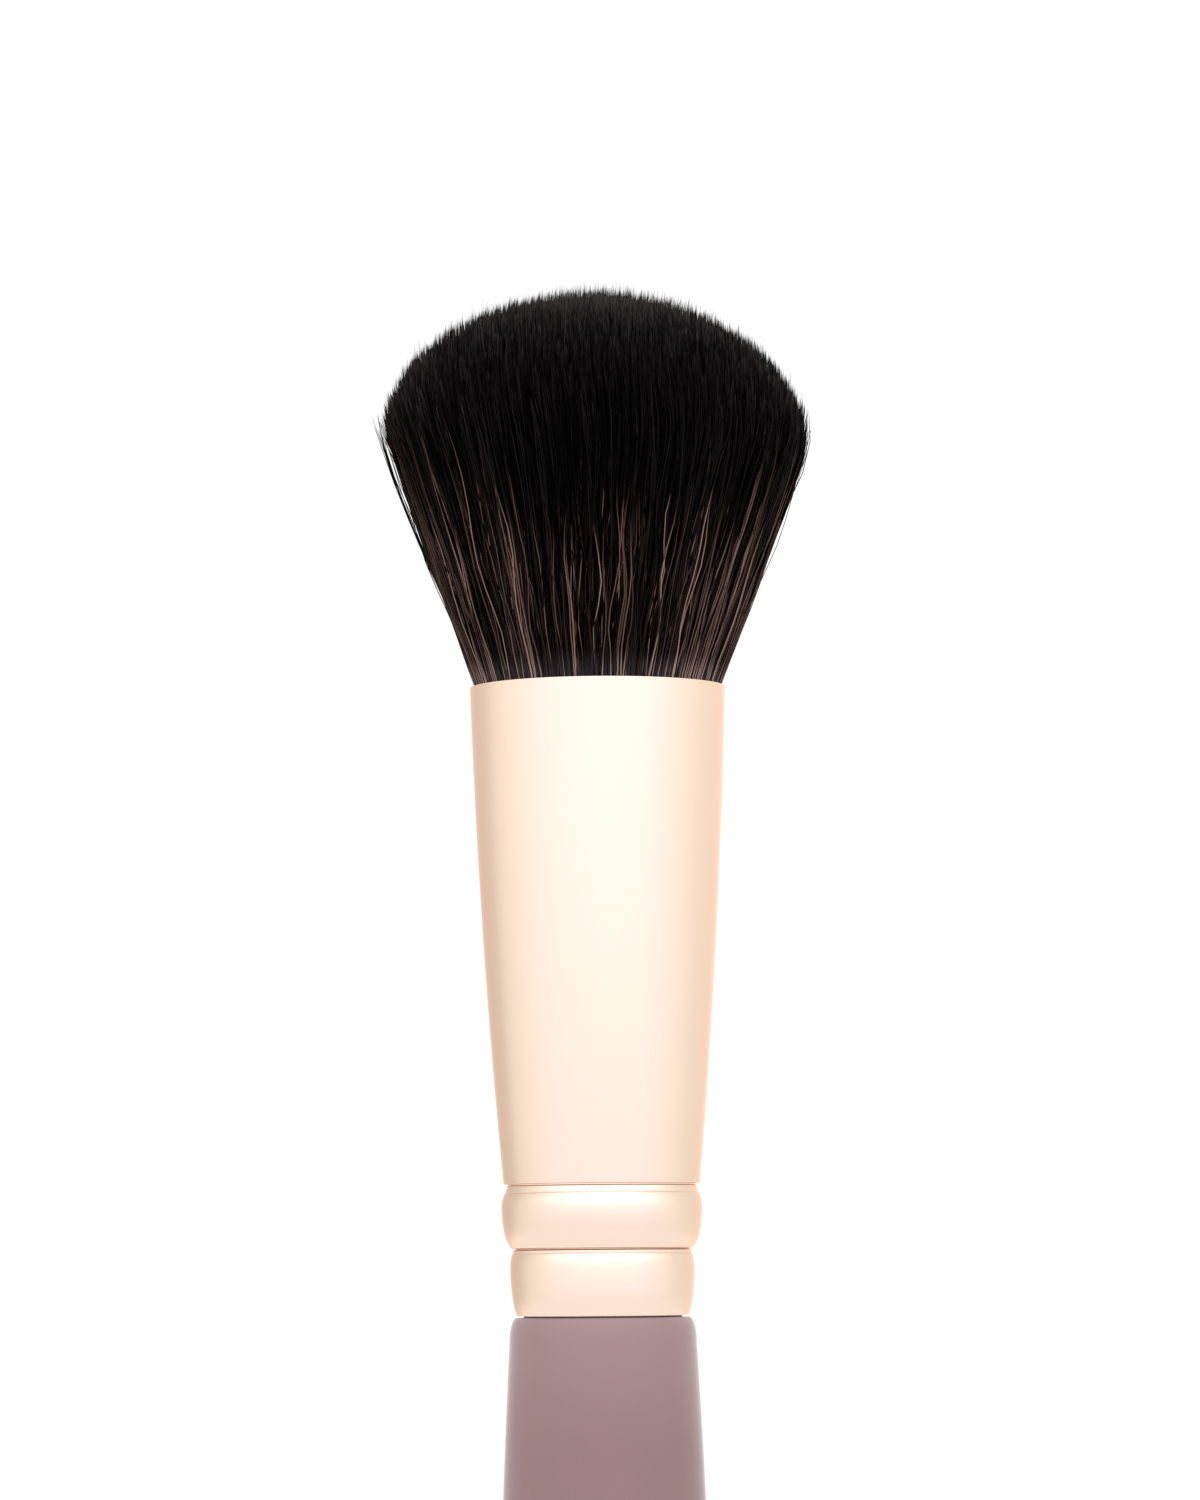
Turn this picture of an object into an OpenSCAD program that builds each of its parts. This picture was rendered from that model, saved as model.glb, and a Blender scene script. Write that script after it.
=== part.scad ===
// Round blush brush: a turned handle, a rolled metal ferrule and a domed tuft of hair.
// It stands upright with the hair up. The origin is the centre of the flat at the handle's butt.
// All lengths are in millimetres.

/* [Handle] */
// Length of the handle from its butt up to the ferrule
handle_h = 99; // [80:1:130]
// Width of the belly, where the fingers hold the handle
belly_d = 16.4; // [15:0.1:20]
// Height of the belly's straight stretch
belly_h = 10; // [6:0.5:16]
// Distance from the ferrule down to the top of the belly's straight stretch
belly_drop = 26; // [16:0.5:36]
// Width just under the rounded shoulder
neck_d = 14.68; // [13.8:0.02:15]
// Height of the rounded shoulder
shoulder_h = 1.6; // [0.6:0.1:3]
// Width near the butt, where the butt starts to round off
tail_d = 8.6; // [6:0.1:12]
// Height of the rounded butt
butt_h = 3.2; // [1.5:0.1:6]
// Width of the small flat at the butt
butt_flat_d = 4.4; // [2:0.1:5.6]
// Depth that the handle's tenon reaches into the ferrule
tenon_h = 22; // [12:0.5:26]
// Bevel at the tenon's end
tenon_bevel = 0.6; // [0.2:0.1:1.5]

/* [Ferrule barrel] */
// Outside width of the ferrule at its mouth
mouth_d = 20; // [17:0.1:24]
// Outside width of the barrel at its lower end
waist_d = 15.32; // [15.2:0.02:16.6]
// Height of the barrel
barrel_h = 38.9; // [34:0.1:50]
// How far the barrel swells beyond a straight cone
barrel_swell = 0.22; // [0:0.01:0.6]
// Thickness of the metal
ferrule_wall = 0.35; // [0.2:0.01:0.5]

/* [Ferrule rings] */
// Width in the groove under the barrel
groove_d = 14.92; // [14.6:0.02:15.2]
// Height of the groove under the barrel
groove_h = 0.7; // [0.3:0.1:1.5]
// Width of the bead at its crest
bead_d = 15.62; // [15.4:0.02:17]
// Width at the bead's upper edge
bead_top_d = 15.2; // [15:0.02:15.6]
// Width at the bead's lower edge
bead_foot_d = 14.4; // [14:0.02:14.9]
// Height of the bead
bead_h = 4.2; // [3:0.1:6]
// Width in the groove under the bead
lower_groove_d = 13.98; // [13.8:0.02:14.3]
// Height of the groove under the bead
lower_groove_h = 0.9; // [0.3:0.1:1.5]
// Width of the tail ring at its crest
tail_ring_d = 14.46; // [14.2:0.02:15]
// Width of the ferrule at its lower end, and of the handle's seat there
ferrule_end_d = 13.6; // [13.2:0.02:13.8]
// Height of the tail ring
tail_ring_h = 4.5; // [3:0.1:7]

/* [Hair] */
// Height of the hair above the ferrule's mouth
hair_h = 31.1; // [24:0.1:40]
// Width of the hair at its widest
hair_d = 33.5; // [26:0.1:42]
// Height of the dome above the widest place
dome_h = 12; // [6:0.1:16]
// Depth that the hair reaches into the ferrule
root_depth = 15; // [10:0.5:18]
// Bristle strands along one side of the grid that they are laid out on
strands_across = 19; // [18:1:20]

/* [Glue and thread] */
// Height of the glue plug under the roots
plug_h = 4; // [2:0.5:6]
// Height of the thread wound round the roots
thread_band_h = 2; // [1:0.1:4]
// Thickness of the wound thread
thread_t = 0.6; // [0.3:0.05:1.2]
// Thickness of the glue between the tenon and the ferrule
tenon_glue_t = 0.22; // [0.1:0.01:0.4]

/* [Hidden] */
$fn = 96;

// Clearance between curved faces that are glued or pressed together
fit_gap = 0.03;
// Depth of the hair's first visible level under the ferrule's rim
rim_drop = 0.5;
// Height over which the bundle widens above the thread
spread_h = 1.5;
// Distance that the glue stays below the end of the tenon and above the ferrule's end
glue_inset = 0.8;

// Straight pieces along each curved stretch of an outline
taper_steps = 24;
curve_steps = 12;
round_steps = 8;

// Places along the axis, from the butt up
belly_top_z = handle_h - belly_drop;
belly_foot_z = belly_top_z - belly_h;
shoulder_z = handle_h - shoulder_h;
ferrule_z = handle_h;
lower_groove_z = ferrule_z + tail_ring_h;
bead_z = lower_groove_z + lower_groove_h;
groove_z = bead_z + bead_h;
barrel_z = groove_z + groove_h;
mouth_z = barrel_z + barrel_h;
root_z = mouth_z - root_depth;
thread_top_z = root_z + thread_band_h;
hair_base_z = mouth_z - rim_drop;
widest_z = mouth_z + hair_h - dome_h;

// Radii that more than one piece needs
ferrule_bore_r = ferrule_end_d / 2 - ferrule_wall;
tenon_r = ferrule_bore_r - tenon_glue_t - 2 * fit_gap;
bundle_root_r = barrel_bore_r(root_z) - thread_t - 2 * fit_gap;

// Strand shape: shares of the cell that a strand stands in, and of its height
root_fill_share = 0.8;
belly_fill_share = 0.93;
belly_level_share = 0.82;
tip_reach_share = 0.98;

// Points from one radius and height to another, swelling out by a rise halfway up
function swelling(z, h, r_low, r_high, rise, steps) = [
    for (i = [0 : steps])
        let (t = i / steps)
        [r_low + (r_high - r_low) * t + rise * 4 * t * (1 - t), z + h * t]
];

// A ring of the ferrule, whose crest has the diameter crest_d
function ring(z, h, foot_d, top_d, crest_d) =
    swelling(z, h, foot_d / 2, top_d / 2, (2 * crest_d - foot_d - top_d) / 4, curve_steps);

// Outline of the ferrule's outside, from its lower end up to its mouth
function ferrule_outline() = concat(
    ring(ferrule_z, tail_ring_h, ferrule_end_d, lower_groove_d, tail_ring_d),
    [[lower_groove_d / 2, bead_z]],
    ring(bead_z, bead_h, bead_foot_d, bead_top_d, bead_d),
    [[groove_d / 2, groove_z], [groove_d / 2, barrel_z]],
    swelling(barrel_z, barrel_h, waist_d / 2, mouth_d / 2, barrel_swell, curve_steps)
);

// Inside radius of the barrel at a height
function barrel_bore_r(z) =
    let (t = (z - barrel_z) / barrel_h)
    waist_d / 2 + (mouth_d - waist_d) / 2 * t + barrel_swell * 4 * t * (1 - t) - ferrule_wall;

function reversed(list) = [for (i = [len(list) - 1 : -1 : 0]) list[i]];

// Turned handle with its tenon
module handle() {
    belly_r = belly_d / 2;
    neck_r = neck_d / 2;
    tail_r = tail_d / 2;
    flat_r = butt_flat_d / 2;
    seat_r = ferrule_end_d / 2;
    butt = [
        for (i = [0 : round_steps])
            let (a = 90 * i / round_steps)
            [flat_r + (tail_r - flat_r) * sin(a), butt_h * (1 - cos(a))]
    ];
    taper = [
        for (i = [1 : taper_steps])
            let (t = i / taper_steps)
            [tail_r + (belly_r - tail_r) * sin(90 * t), butt_h + (belly_foot_z - butt_h) * t]
    ];
    rise = [
        for (i = [0 : curve_steps])
            let (t = i / curve_steps)
            [neck_r + (belly_r - neck_r) * cos(90 * t), belly_top_z + (shoulder_z - belly_top_z) * t]
    ];
    shoulder = [
        for (i = [1 : round_steps])
            let (a = 90 * i / round_steps)
            [seat_r + (neck_r - seat_r) * cos(a), shoulder_z + shoulder_h * sin(a)]
    ];
    tenon = [
        [tenon_r, handle_h],
        [tenon_r, handle_h + tenon_h - tenon_bevel],
        [tenon_r - tenon_bevel, handle_h + tenon_h]
    ];
    color([0.66, 0.54, 0.53])
        rotate_extrude()
            polygon(concat([[0, 0]], butt, taper, rise, shoulder, tenon, [[0, handle_h + tenon_h]]));
}

// Drawn metal tube, rolled into a bead and a tail ring where it grips the tenon
module ferrule() {
    outside = ferrule_outline();
    inside = [for (p = outside) [p[0] - ferrule_wall, p[1]]];
    color([0.93, 0.8, 0.7])
        rotate_extrude()
            polygon(concat(outside, reversed(inside)));
}

// A point of the square from -1 to 1, moved to its place in a disc of radius 1
function disc_place(a, b) =
    a == 0 && b == 0 ? [0, 0]
    : abs(a) > abs(b) ? a * [cos(45 * b / a), sin(45 * b / a)]
    : b * [sin(45 * a / b), cos(45 * a / b)];

// Corner of the grid of strands, and the centre of one of its cells
function grid_corner(i, j) = disc_place(2 * i / strands_across - 1, 2 * j / strands_across - 1);
function cell_centre(i, j) = grid_corner(i + 1 / 2, j + 1 / 2);

// Corners of a cell, anticlockwise, drawn in towards its centre
function cell_quad(i, j, fill) =
    let (c = cell_centre(i, j))
    [
        for (k = [[0, 0], [1, 0], [1, 1], [0, 1]])
            c + (grid_corner(i + k[0], j + k[1]) - c) * fill
    ];

// Height of a strand's tip, on the dome
function tip_z(i, j) =
    widest_z + dome_h * sqrt(1 - pow(norm(cell_centre(i, j)) * tip_reach_share, 2));

// Strands in a domed tuft, fused to the bundle of roots that fills the ferrule's mouth
module bristles() {
    n = strands_across;
    top_r = barrel_bore_r(hair_base_z) - fit_gap;
    hair_r = hair_d / 2;
    bundle_side = [
        [barrel_bore_r(thread_top_z + spread_h) - fit_gap, thread_top_z + spread_h],
        [bundle_root_r, thread_top_z],
        [bundle_root_r, root_z]
    ];

    // Top of the bundle, then 4 root points, 4 belly points and a tip for each strand
    grid_points = [
        for (i = [0 : n], j = [0 : n])
            let (p = grid_corner(i, j) * top_r)
            [p[0], p[1], hair_base_z]
    ];
    strand_points = [
        for (i = [0 : n - 1], j = [0 : n - 1])
            let (
                high_z = tip_z(i, j),
                belly_z = hair_base_z + (high_z - hair_base_z) * belly_level_share,
                tip = cell_centre(i, j) * hair_r * tip_reach_share
            )
            each concat(
                [for (p = cell_quad(i, j, root_fill_share)) [p[0] * top_r, p[1] * top_r, hair_base_z]],
                [for (p = cell_quad(i, j, belly_fill_share)) [p[0] * hair_r, p[1] * hair_r, belly_z]],
                [[tip[0], tip[1], high_z]]
            )
    ];

    // Rim of the grid, anticlockwise, and the bundle's side under it
    rim = concat(
        [for (i = [0 : n - 1]) [i, 0]],
        [for (j = [0 : n - 1]) [n, j]],
        [for (i = [0 : n - 1]) [n - i, n]],
        [for (j = [0 : n - 1]) [0, n - j]]
    );
    side_points = [
        for (level = bundle_side, p = rim)
            let (c = grid_corner(p[0], p[1]) * level[0])
            [c[0], c[1], level[1]]
    ];
    points = concat(grid_points, strand_points, side_points, [[0, 0, root_z]]);

    // Where each kind of point starts in the list, and how many of them there are
    first_strand = len(grid_points);
    first_side = first_strand + len(strand_points);
    last_point = len(points) - 1;
    strand_count = len(strand_points) / (n * n);
    corners = (strand_count - 1) / 2;
    rim_count = len(rim);
    levels = len(bundle_side);
    foot = last_point - rim_count;

    strand_faces = [
        for (i = [0 : n - 1], j = [0 : n - 1])
            let (
                s = first_strand + strand_count * (i * n + j),
                belly = s + corners,
                tip = belly + corners,
                g = [i * (n + 1) + j, (i + 1) * (n + 1) + j, (i + 1) * (n + 1) + j + 1, i * (n + 1) + j + 1]
            )
            for (k = [0 : corners - 1])
                let (m = (k + 1) % corners)
                each [
                    [g[k], s + k, s + m],
                    [g[k], s + m, g[m]],
                    [s + k, belly + k, belly + m],
                    [s + k, belly + m, s + m],
                    [belly + k, tip, belly + m]
                ]
    ];
    side_faces = [
        for (level = [0 : levels - 1], k = [0 : rim_count - 1])
            let (
                m = (k + 1) % rim_count,
                low = first_side + level * rim_count,
                high_k = level == 0 ? rim[k][0] * (n + 1) + rim[k][1] : low - rim_count + k,
                high_m = level == 0 ? rim[m][0] * (n + 1) + rim[m][1] : low - rim_count + m
            )
            each [[low + k, high_k, high_m], [low + k, high_m, low + m]]
    ];
    root_faces = [
        for (k = [0 : rim_count - 1])
            [last_point, foot + k, foot + (k + 1) % rim_count]
    ];
    color([0.13, 0.1, 0.09])
        polyhedron(points, concat(strand_faces, side_faces, root_faces));
}

// Hardened glue under the roots, which holds the hair in the barrel
module glue_plug() {
    color([0.8, 0.74, 0.6])
        rotate_extrude()
            polygon([
                [0, root_z - plug_h],
                [barrel_bore_r(root_z - plug_h) - fit_gap, root_z - plug_h],
                [barrel_bore_r(root_z) - fit_gap, root_z],
                [0, root_z]
            ]);
}

// Thread wound round the foot of the bundle
module binding_thread() {
    inner_r = bundle_root_r + fit_gap;
    corner = thread_t / 4;
    color([0.9, 0.88, 0.82])
        rotate_extrude()
            polygon([
                [inner_r, root_z],
                [inner_r + thread_t - corner, root_z],
                [inner_r + thread_t, root_z + corner],
                [inner_r + thread_t, thread_top_z - corner],
                [inner_r + thread_t - corner, thread_top_z],
                [inner_r, thread_top_z]
            ]);
}

// Thin sleeve of glue between the tenon and the ferrule's lower end
module tenon_glue() {
    color([0.85, 0.8, 0.68])
        translate([0, 0, handle_h + glue_inset])
            rotate_extrude()
                translate([tenon_r + fit_gap, 0])
                    square([tenon_glue_t, tenon_h - tenon_bevel - 2 * glue_inset]);
}

handle();
ferrule();
bristles();
glue_plug();
binding_thread();
tenon_glue();
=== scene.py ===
import math

import bpy
import numpy as np
from mathutils import Matrix, kdtree


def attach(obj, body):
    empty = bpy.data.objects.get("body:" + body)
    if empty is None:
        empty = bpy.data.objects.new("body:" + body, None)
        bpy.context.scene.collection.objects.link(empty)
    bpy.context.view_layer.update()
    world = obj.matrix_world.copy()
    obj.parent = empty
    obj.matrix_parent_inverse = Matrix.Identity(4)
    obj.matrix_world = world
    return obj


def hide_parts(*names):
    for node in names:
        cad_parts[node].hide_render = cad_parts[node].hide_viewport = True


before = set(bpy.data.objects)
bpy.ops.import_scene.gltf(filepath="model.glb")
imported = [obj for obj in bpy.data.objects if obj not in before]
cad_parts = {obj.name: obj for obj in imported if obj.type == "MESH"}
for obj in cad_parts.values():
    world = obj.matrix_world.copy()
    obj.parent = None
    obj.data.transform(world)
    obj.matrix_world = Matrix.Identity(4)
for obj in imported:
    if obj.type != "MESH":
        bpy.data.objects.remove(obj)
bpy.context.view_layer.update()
scene = bpy.context.scene
mm = 0.001
mergeGap = 1e-7  # corners nearer than this are one, in metres
fullTurn = 2 * math.pi
print("frame loaded:", ", ".join(sorted(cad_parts)))


class Wire:  # a socket of a finish that can be added, multiplied and so on
    def __init__(self, finish, socket):
        self.finish, self.socket = finish, socket

    def reckon(self, operation, *values):
        return self.finish.node("Math", {"operation": operation}, dict(enumerate(values)))

    def __add__(self, other):
        return self.reckon("ADD", self, other)

    def __radd__(self, other):
        return self.reckon("ADD", other, self)

    def __sub__(self, other):
        return self.reckon("SUBTRACT", self, other)

    def __rsub__(self, other):
        return self.reckon("SUBTRACT", other, self)

    def __mul__(self, other):
        return self.reckon("MULTIPLY", self, other)

    def __rmul__(self, other):
        return self.reckon("MULTIPLY", other, self)

    def floor(self):
        return self.reckon("FLOOR", self)

    def below(self, limit):
        return self.reckon("LESS_THAN", self, limit)

    def angleTo(self, other):
        return self.reckon("ARCTAN2", self, other)

    def spread(self, least, more):  # least where this is 0, and more on top of it where this is 1
        return least + self * more

    def output(self, name):  # another output of the same node
        return Wire(self.finish, self.socket.node.outputs[name])


class Finish:  # a material or a surround, with one way to add a node to it
    def __init__(self, name, constants, kinds=bpy.data.materials, shaderName="Principled BSDF"):
        self.block = kinds.new(name)
        self.block.use_nodes = True
        self.tree = self.block.node_tree
        self.shader = self.tree.nodes[shaderName]
        self.feed(self.shader, constants)

    def feed(self, node, inputs):
        for name, value in inputs.items():
            if isinstance(value, Wire):
                self.tree.links.new(value.socket, node.inputs[name])
            else:
                node.inputs[name].default_value = value

    def node(self, kind, settings, inputs):
        made = self.tree.nodes.new("ShaderNode" + kind)
        for name, value in settings.items():
            if name == "stops":
                for place, shade in value[1:-1]:
                    made.color_ramp.elements.new(place)
                for stop, (place, shade) in zip(made.color_ramp.elements, value):
                    stop.position, stop.color = place, (*shade, 1)
            else:
                setattr(made, name, value)
        self.feed(made, inputs)
        return Wire(self, made.outputs[0])

    def coords(self):  # the place on the object, in metres
        return self.node("TexCoord", {}, {}).output("Object")

    def axes(self, vector):  # the three parts of a vector
        first = self.node("SeparateXYZ", {}, {0: vector})
        return first, first.output("Y"), first.output("Z")

    def vector(self, x, y, z):
        return self.node("CombineXYZ", {}, {0: x, 1: y, 2: z})

    def grain(self, coords, scale, detail=2, roughness=0.5):
        return self.node("TexNoise", {}, {"Vector": coords, "Scale": scale, "Detail": detail, "Roughness": roughness})

    def chance(self, seed):  # a number from 0 to 1 that depends on the seed alone
        return self.node("TexWhiteNoise", {"noise_dimensions": "1D"}, {"W": seed})

    def step(self, value, low, high):  # 0 at low, 1 at high, smooth between
        return self.node("MapRange", {"interpolation_type": "SMOOTHSTEP"},
                         {"Value": value, "From Min": low, "From Max": high})

    def mix(self, share, first, second):
        made = self.node("Mix", {"data_type": "RGBA"}, {0: share, 6: first, 7: second})
        return made.output(2)

    def bump(self, height, depth, strength):
        return self.node("Bump", {}, {"Height": height, "Distance": depth, "Strength": strength})

    def paint(self, inputs):
        self.feed(self.shader, inputs)
        return self.block


def rgb(red, green, blue):
    return (red, green, blue, 1)


def nothingSelected():
    if bpy.context.mode != "OBJECT":
        bpy.ops.object.mode_set(mode="OBJECT")
    bpy.ops.object.select_all(action="DESELECT")


def newPiece(name):  # the primitive just added, with its place moved into its mesh
    piece = bpy.context.object
    piece.name = piece.data.name = name
    bpy.ops.object.transform_apply(location=True, rotation=True, scale=True)
    return piece


def closeUp(piece, smoothAngle):  # in edit mode: fills the open ends, turns the faces outwards and shades them
    bpy.ops.mesh.select_all(action="SELECT")
    bpy.ops.mesh.remove_doubles(threshold=mergeGap)  # an outline that comes back to its start closes here
    bpy.ops.mesh.fill_holes(sides=0)
    bpy.ops.mesh.normals_make_consistent(inside=False)
    bpy.ops.object.mode_set(mode="OBJECT")
    bpy.ops.object.shade_smooth_by_angle(angle=math.radians(smoothAngle))
    return piece


def handOver(piece, node, material):
    piece.data.materials.clear()
    piece.data.materials.append(material)
    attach(piece, "root")
    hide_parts(node)


def turned(name, outline, sides, smoothAngle):
    # outline: radius and height in mm; it starts at the foot and goes up the outside
    nothingSelected()
    radius, height = outline[0]
    bpy.ops.mesh.primitive_circle_add(vertices=sides, radius=radius * mm, location=(0, 0, height * mm))
    piece = newPiece(name)
    bpy.ops.object.mode_set(mode="EDIT")
    bpy.ops.mesh.select_all(action="SELECT")
    for nextRadius, nextHeight in outline[1:]:
        bpy.ops.mesh.extrude_region_move(TRANSFORM_OT_translate={"value": (0, 0, (nextHeight - height) * mm)})
        share = nextRadius / radius
        bpy.ops.transform.resize(value=(share, share, 1), center_override=(0, 0, nextHeight * mm))
        radius, height = nextRadius, nextHeight
    return closeUp(piece, smoothAngle)


def swelling(low, high, rise, steps, square=2):
    # points from low to high that bow outwards by rise, fuller where square is larger
    (lowR, lowZ), (highR, highZ) = low, high
    return [(lowR + (highR - lowR) * t + rise * (1 - abs(2 * t - 1) ** square), lowZ + (highZ - lowZ) * t)
            for t in (1 - np.cos(np.linspace(0, math.pi, steps + 1))) / 2]


def rounded(points, radius, steps=4, straight=0.97):  # an outline whose corners are cut to small curves
    points = [np.array(point, float) for point in points]
    smooth = [points[0]]
    for before, corner, after in zip(points, points[1:], points[2:]):
        toBefore, toAfter = before - corner, after - corner
        lengths = np.linalg.norm(toBefore), np.linalg.norm(toAfter)
        if toBefore @ toAfter < -straight * lengths[0] * lengths[1]:  # nearly straight on
            smooth.append(corner)
            continue
        reach = min(radius, lengths[0] / 2, lengths[1] / 2)
        start = corner + toBefore / lengths[0] * reach
        end = corner + toAfter / lengths[1] * reach
        for t in np.linspace(0, 1, steps + 1):
            smooth.append(start * (1 - t) ** 2 + corner * 2 * t * (1 - t) + end * t ** 2)
    return smooth + [points[-1]]


# The ferrule: a drawn tube with a groove, a bead, a groove and a tail ring

ferruleValues = {  # sizes in mm
    "footZ": 99.13, "footR": 6.68, "tailRise": 0.27, "tailTopR": 7.04, "tailTopZ": 103.93,
    "lowGrooveR": 6.98, "beadZ": 104.38, "beadFootR": 7.11, "beadTopR": 7.59, "beadRise": 0.42, "beadTopZ": 108.62,
    "grooveR": 7.46, "collarSlope": 0.04, "barrelZ": 109.37, "waistR": 7.66, "mouthR": 10, "barrelRise": 0.3,
    "mouthZ": 148.2, "wall": 0.35, "boreMin": 6.45, "edge": 0.07, "ringSquare": 3,
    "nick": 0.03, "nickFrom": 0.02, "nickTo": 0.1, "crease": 0.32, "creaseFrom": 0.17, "creaseTo": 0.05,
    "sides": 160, "ringSteps": 20, "barrelSteps": 40, "smoothAngle": 50,
    "edgeTint": rgb(1.0, 0.79, 0.69),  # what the metal mirrors at a low angle
    # painted shade: the metal is darker low on the ferrule and paler towards the mouth, as lit and shaded copies of
    # one colour
    "shadedLowTint": rgb(0.608, 0.483, 0.381), "litHighTint": rgb(0.668, 0.523, 0.416), "paintedShadeZ": (104, 150),
    "cloudScale": 140, "cloudShare": 0.2,
    "marksRound": 1.6, "marksUp": 2600, "marksDepth": 2e-6, "marksStrength": 0.12,
    "roughness": 0.15, "marksRoughness": 0.04, "cloudRoughness": 0.03,
}


def barrelR(z):  # outside radius of the barrel
    s = ferruleValues
    t = (z - s["barrelZ"]) / (s["mouthZ"] - s["barrelZ"])
    return s["waistR"] + (s["mouthR"] - s["waistR"]) * t + s["barrelRise"] * 4 * t * (1 - t)


def boreR(z):
    return barrelR(z) - ferruleValues["wall"]


def groove(radius, low, high, slope):  # a narrow collar with a nick at its foot and a crease under the ring above
    s = ferruleValues
    return [(radius + slope - s["nick"], low + s["nickFrom"]), (radius + slope, low + s["nickTo"]),
            (radius - slope, high - s["creaseFrom"]), (radius - s["crease"], high - s["creaseTo"])]


def makeFerrule():
    s = ferruleValues
    tail = swelling((s["footR"], s["footZ"]), (s["tailTopR"], s["tailTopZ"]),
                    s["tailRise"], s["ringSteps"], s["ringSquare"])
    bead = swelling((s["beadFootR"], s["beadZ"]), (s["beadTopR"], s["beadTopZ"]),
                    s["beadRise"], s["ringSteps"], s["ringSquare"])
    barrel = swelling((s["waistR"], s["barrelZ"]), (s["mouthR"], s["mouthZ"]), s["barrelRise"], s["barrelSteps"])
    outside = tail + groove(s["lowGrooveR"], s["tailTopZ"], s["beadZ"], 0) + bead
    outside += groove(s["grooveR"], s["beadTopZ"], s["barrelZ"], s["collarSlope"]) + barrel
    followed = [barrel[-1], barrel[len(barrel) // 2], barrel[0], bead[-1], bead[len(bead) // 2], bead[0],
                tail[-1], tail[0]]
    inside = [(max(r - s["wall"], s["boreMin"]), z) for r, z in followed]
    return turned("ferruleShell", rounded(outside + inside + [outside[0]], s["edge"]), s["sides"], s["smoothAngle"])


def ferruleFinish():
    s = ferruleValues
    finish = Finish("satinChampagne", {"Metallic": 1.0, "Specular Tint": s["edgeTint"]})
    coords = finish.coords()
    x, y, z = finish.axes(coords)
    marks = finish.grain(finish.vector(y.angleTo(x) * s["marksRound"], 0.0, z * s["marksUp"]), 1.0, 3)
    cloud = finish.grain(coords, s["cloudScale"], 3)
    # painted shade: darker towards the foot, paler towards the mouth; the cloud mixed in is the metal's own random
    # tone
    height = finish.step(z, s["paintedShadeZ"][0] * mm, s["paintedShadeZ"][1] * mm)
    share = height * (1 - s["cloudShare"]) + cloud * s["cloudShare"]
    return finish.paint({
        "Base Color": finish.mix(share, s["shadedLowTint"], s["litHighTint"]),
        "Roughness": s["roughness"] + marks * s["marksRoughness"] + cloud * s["cloudRoughness"],
        "Normal": finish.bump(marks, s["marksDepth"], s["marksStrength"]),
    })


ferrule = makeFerrule()
handOver(ferrule, "ferrule", ferruleFinish())
print("ferrule:", len(ferrule.data.polygons), "faces")


# The handle, turned from its butt to the tenon inside the ferrule

handleValues = {  # sizes in mm
    "flatR": 2.2, "tailR": 4.3, "buttH": 3.2, "bellyR": 8.2, "bellyFootZ": 63, "bellyTopZ": 70,
    "neckR": 7.29, "shoulderZ": 97.1, "topZ": 98.98, "seatR": 6.7, "tenonR": 6.17, "tenonTopZ": 121, "tenonBevel": 0.6,
    "sides": 128, "roundSteps": 16, "taperSteps": 36, "bellySteps": 20, "smoothAngle": 40,
    "darkCoat": rgb(0.133, 0.0740, 0.0672), "lightCoat": rgb(0.150, 0.0835, 0.0760),
    "litShoulderCoat": rgb(0.173, 0.105, 0.0955), "litShoulderZ": (88, 99),  # painted light: paler towards the shoulder, which faces up into the light
    "specular": 0.5, "sheen": 0.42, "sheenRoughness": 0.3,
    "cloudScale": 90, "cloudRange": (0.3, 0.7), "cloudShare": 0.6,
    "speckleScale": 5200, "speckleRange": (0.35, 0.65), "speckleShare": 0.4,
    "speckleDepth": 4e-6, "speckleStrength": 0.35, "roughness": 0.46, "speckleRoughness": 0.1,
}


def makeHandle():
    s = handleValues
    quarter = np.radians(np.linspace(0, 90, s["roundSteps"] + 1))
    outline = [(s["flatR"] + (s["tailR"] - s["flatR"]) * math.sin(a), s["buttH"] * (1 - math.cos(a))) for a in quarter]
    for t in np.linspace(0, 1, s["taperSteps"] + 1)[1:]:  # long taper up to the belly
        outline.append((s["tailR"] + (s["bellyR"] - s["tailR"]) * math.sin(math.pi / 2 * t),
                        s["buttH"] + (s["bellyFootZ"] - s["buttH"]) * t))
    for t in np.linspace(0, 1, s["bellySteps"] + 1):  # belly up to the neck
        outline.append((s["neckR"] + (s["bellyR"] - s["neckR"]) * math.cos(math.pi / 2 * t),
                        s["bellyTopZ"] + (s["shoulderZ"] - s["bellyTopZ"]) * t))
    for a in quarter[1:]:  # rounded shoulder
        outline.append((s["seatR"] + (s["neckR"] - s["seatR"]) * math.cos(a),
                        s["shoulderZ"] + (s["topZ"] - s["shoulderZ"]) * math.sin(a)))
    outline += [(s["tenonR"], s["topZ"]), (s["tenonR"], s["tenonTopZ"] - s["tenonBevel"]),
                (s["tenonR"] - s["tenonBevel"], s["tenonTopZ"])]
    return turned("handleBody", outline, s["sides"], s["smoothAngle"])


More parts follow.
